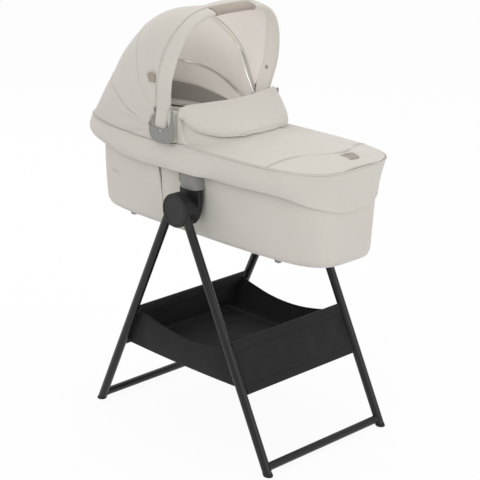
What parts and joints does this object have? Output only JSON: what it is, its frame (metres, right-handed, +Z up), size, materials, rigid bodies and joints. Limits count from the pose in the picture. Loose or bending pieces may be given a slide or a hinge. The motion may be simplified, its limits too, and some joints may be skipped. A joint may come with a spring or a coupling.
{
  "type": "carrycot stand",
  "caption": "Folding A-frame stand of black tube with a fabric basket, carrying a lift-off carrycot with a padded rim, an apron with a wind flap and a folding hood.",
  "frame": {"origin": "on the floor, midway between the carrycot's head and foot ends and between the two sides", "axes": "+X from the hood's end to the foot end, +Y to the left side, +Z up"},
  "size_m": [0.8891, 0.425, 1.056],
  "materials": {
    "tube": "satin black",
    "black_plastic": "fine grain",
    "steel": "zinc plated",
    "black_fabric": "plain weave",
    "cream_fabric": "plain weave",
    "grey_plastic": "fine grain",
    "leatherette": "soft grain",
    "rubber": "matte",
    "board": "smooth"
  },
  "bodies": {
    "rear_frame": {"rear_leg_right": "tube", "rear_leg_left": "tube", "rear_foot_cap_right": "black_plastic", "rear_foot_cap_left": "black_plastic", "hub_housing_right": "black_plastic", "hub_housing_left": "black_plastic", "hub_cover_right": "black_plastic", "hub_cover_left": "black_plastic", "adapter_right": "black_plastic", "adapter_left": "black_plastic", "fold_bolt_right": "steel", "fold_bolt_left": "steel", "basket_side_right": "black_fabric", "basket_side_left": "black_fabric", "rear_floor_bar": "tube", "basket_rear_bottom_rod": "tube", "basket_rear_top_rod": "tube", "basket_rear_panel": "black_fabric", "basket_floor": "black_fabric"},
    "front_frame": {"front_leg_right": "tube", "front_leg_left": "tube", "front_foot_cap_right": "black_plastic", "front_foot_cap_left": "black_plastic", "leg_knuckle_right": "black_plastic", "leg_knuckle_left": "black_plastic", "front_floor_bar": "tube", "basket_front_bottom_rod": "tube", "basket_front_top_rod": "tube", "basket_front_panel": "black_fabric"},
    "carrycot": {"cot_tub": "cream_fabric", "base_board": "board", "mattress": "cream_fabric", "rim_tube": "tube", "rim_band": "cream_fabric", "apron": "cream_fabric", "hood_rear_panel": "cream_fabric", "receiver_right": "grey_plastic", "receiver_left": "grey_plastic", "hood_joint_right": "grey_plastic", "hood_joint_left": "grey_plastic", "hood_pin_right": "steel", "hood_pin_left": "steel", "cot_pad_head_right": "rubber", "cot_pad_head_left": "rubber", "cot_pad_foot_right": "rubber", "cot_pad_foot_left": "rubber"},
    "release_button_right": {"release_button_right": "grey_plastic"},
    "release_button_left": {"release_button_left": "grey_plastic"},
    "wind_flap": {"wind_flap": "cream_fabric"},
    "hood_rear": {"hood_rear_rib": "steel", "hood_middle_panel": "cream_fabric"},
    "hood_middle": {"hood_middle_rib": "steel", "hood_front_panel": "cream_fabric"},
    "hood_bow": {"hood_bow": "cream_fabric", "carry_grip": "leatherette"},
    "bow_button_right": {"bow_button_right": "grey_plastic"},
    "bow_button_left": {"bow_button_left": "grey_plastic"}
  },
  "joints": [
    {"name": "stand_fold", "type": "hinge", "parent": "rear_frame", "child": "front_frame", "pos_m": [0.0425, 0, 0.59], "axis": [0, 1, 0], "range_deg": [0, 50], "deforming": ["basket_side_right", "basket_side_left", "basket_floor"]},
    {"name": "carrycot_lift", "type": "slide", "parent": "rear_frame", "child": "carrycot", "axis": [0, 0, 1], "range_m": [0, 0.12]},
    {"name": "hood_rear_fold", "type": "hinge", "parent": "carrycot", "child": "hood_rear", "pos_m": [-0.0425, 0, 0.765], "axis": [0, -1, 0], "range_deg": [0, 18], "deforming": ["hood_rear_panel"]},
    {"name": "hood_middle_fold", "type": "hinge", "parent": "hood_rear", "child": "hood_middle", "pos_m": [-0.0425, 0, 0.765], "axis": [0, -1, 0], "range_deg": [0, 32], "deforming": ["hood_middle_panel"]},
    {"name": "hood_bow_fold", "type": "hinge", "parent": "hood_middle", "child": "hood_bow", "pos_m": [-0.0425, 0, 0.765], "axis": [0, -1, 0], "range_deg": [0, 28.8], "deforming": ["hood_front_panel"]},
    {"name": "wind_flap_turn", "type": "hinge", "parent": "carrycot", "child": "wind_flap", "pos_m": [0.00565, 0, 0.81823], "axis": [0, -1, 0], "range_deg": [0, 105]},
    {"name": "release_press_right", "type": "slide", "parent": "carrycot", "child": "release_button_right", "axis": [1, 0, 0], "range_m": [0, 0.0035], "stiffness_N_per_m": 800},
    {"name": "release_press_left", "type": "slide", "parent": "carrycot", "child": "release_button_left", "axis": [1, 0, 0], "range_m": [0, 0.0035], "stiffness_N_per_m": 800},
    {"name": "bow_press_right", "type": "slide", "parent": "hood_bow", "child": "bow_button_right", "axis": [0, -1, 0], "range_m": [0, 0.0018], "stiffness_N_per_m": 600},
    {"name": "bow_press_left", "type": "slide", "parent": "hood_bow", "child": "bow_button_left", "axis": [0, 1, 0], "range_m": [0, 0.0018], "stiffness_N_per_m": 600}
  ],
  "couplings": [
    {"joint": "hood_middle_fold", "follows": "hood_bow_fold", "ratio": 1.1111},
    {"joint": "hood_rear_fold", "follows": "hood_bow_fold", "ratio": 0.6249}
  ]
}
